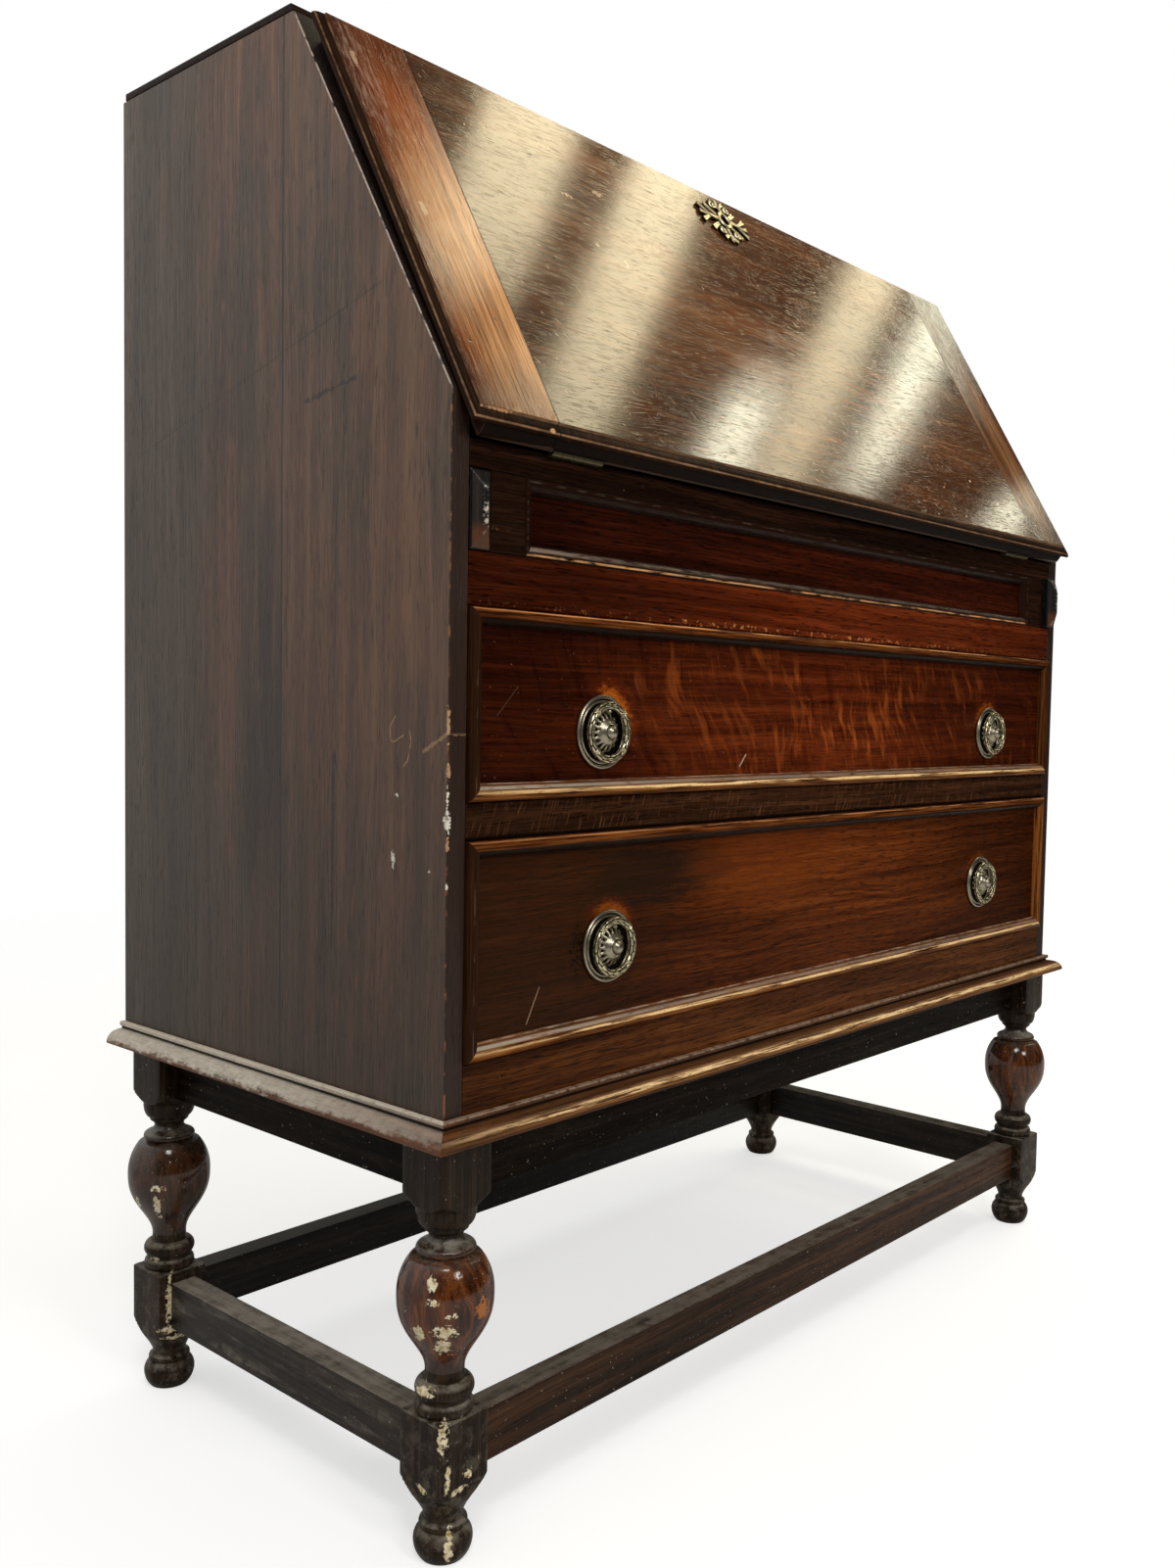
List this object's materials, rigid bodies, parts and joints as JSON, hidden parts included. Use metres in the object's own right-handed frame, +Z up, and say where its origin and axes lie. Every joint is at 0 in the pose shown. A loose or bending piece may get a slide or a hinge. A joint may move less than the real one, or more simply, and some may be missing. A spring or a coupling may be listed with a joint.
{
  "type": "drop-front bureau",
  "caption": "Dark oak drop-front writing bureau with moulded drawers, brass ring handles and pull-out lopers, on a stand with bulbous turned legs and stretchers.",
  "frame": {"origin": "on the floor, at the middle of the bounding box's base", "axes": "+Z up, the front with the fall and drawers faces -Y, +X to the right of someone facing the front"},
  "size_m": [0.922, 0.4214, 1.0611],
  "materials": {
    "dark_oak": "dark stained, worn polish",
    "plain_oak": "unpolished",
    "aged_brass": "tarnished"
  },
  "bodies": {
    "carcass": {"side_left": "dark_oak", "side_right": "dark_oak", "top_board": "dark_oak", "writing_bed": "dark_oak", "fall_rail": "dark_oak", "stile_left": "dark_oak", "stile_right": "dark_oak", "frieze_panel": "dark_oak", "frieze_rail": "dark_oak", "mid_rail": "dark_oak", "base_rail": "dark_oak", "base_moulding": "dark_oak", "leg_front_left": "dark_oak", "leg_front_right": "dark_oak", "leg_rear_left": "dark_oak", "leg_rear_right": "dark_oak", "apron_front": "dark_oak", "apron_rear": "dark_oak", "apron_left": "dark_oak", "apron_right": "dark_oak", "stretcher_front": "dark_oak", "stretcher_rear": "dark_oak", "stretcher_left": "dark_oak", "stretcher_right": "dark_oak", "back_panel": "plain_oak", "bottom_board": "plain_oak", "dust_board_mid": "plain_oak", "dust_board_upper": "plain_oak", "pigeonhole_shelf": "plain_oak", "upright_left": "plain_oak", "upright_right": "plain_oak", "hinge_leaf_left": "aged_brass", "hinge_leaf_right": "aged_brass"},
    "fall": {"fall_panel": "dark_oak", "cleat_left": "dark_oak", "cleat_right": "dark_oak", "escutcheon": "aged_brass", "lock_case": "aged_brass", "fall_leaf_left": "aged_brass", "fall_leaf_right": "aged_brass"},
    "left_loper": {"loper_left": "dark_oak"},
    "right_loper": {"loper_right": "dark_oak"},
    "upper_drawer": {"drawer_front_upper": "dark_oak", "drawer_left_upper": "plain_oak", "drawer_right_upper": "plain_oak", "drawer_back_upper": "plain_oak", "drawer_bottom_upper": "plain_oak", "handle_plate_upper_left": "aged_brass", "handle_plate_upper_right": "aged_brass"},
    "upper_left_ring": {"handle_ring_upper_left": "aged_brass"},
    "upper_right_ring": {"handle_ring_upper_right": "aged_brass"},
    "lower_drawer": {"drawer_front_lower": "dark_oak", "drawer_left_lower": "plain_oak", "drawer_right_lower": "plain_oak", "drawer_back_lower": "plain_oak", "drawer_bottom_lower": "plain_oak", "handle_plate_lower_left": "aged_brass", "handle_plate_lower_right": "aged_brass"},
    "lower_left_ring": {"handle_ring_lower_left": "aged_brass"},
    "lower_right_ring": {"handle_ring_lower_right": "aged_brass"}
  },
  "joints": [
    {"name": "fall_hinge", "type": "hinge", "parent": "carcass", "child": "fall", "pos_m": [0, -0.19785, 0.7445], "axis": [1, 0, 0], "range_deg": [0, 119.8]},
    {"name": "left_loper_slide", "type": "slide", "parent": "carcass", "child": "left_loper", "axis": [0, -1, 0], "range_m": [0, 0.25]},
    {"name": "right_loper_slide", "type": "slide", "parent": "carcass", "child": "right_loper", "axis": [0, -1, 0], "range_m": [-0.0065, 0.2435]},
    {"name": "upper_drawer_slide", "type": "slide", "parent": "carcass", "child": "upper_drawer", "axis": [0, -1, 0], "range_m": [0, 0.3]},
    {"name": "upper_left_ring_hinge", "type": "hinge", "parent": "upper_drawer", "child": "upper_left_ring", "pos_m": [-0.298, -0.19955, 0.5752], "axis": [-1, 0, 0], "range_deg": [0, 85]},
    {"name": "upper_right_ring_hinge", "type": "hinge", "parent": "upper_drawer", "child": "upper_right_ring", "pos_m": [0.298, -0.19955, 0.5752], "axis": [-1, 0, 0], "range_deg": [0, 85]},
    {"name": "lower_drawer_slide", "type": "slide", "parent": "carcass", "child": "lower_drawer", "axis": [0, -1, 0], "range_m": [0, 0.3]},
    {"name": "lower_left_ring_hinge", "type": "hinge", "parent": "lower_drawer", "child": "lower_left_ring", "pos_m": [-0.288, -0.19955, 0.4198], "axis": [-1, 0, 0], "range_deg": [0, 85]},
    {"name": "lower_right_ring_hinge", "type": "hinge", "parent": "lower_drawer", "child": "lower_right_ring", "pos_m": [0.288, -0.19955, 0.4198], "axis": [-1, 0, 0], "range_deg": [0, 85]}
  ]
}
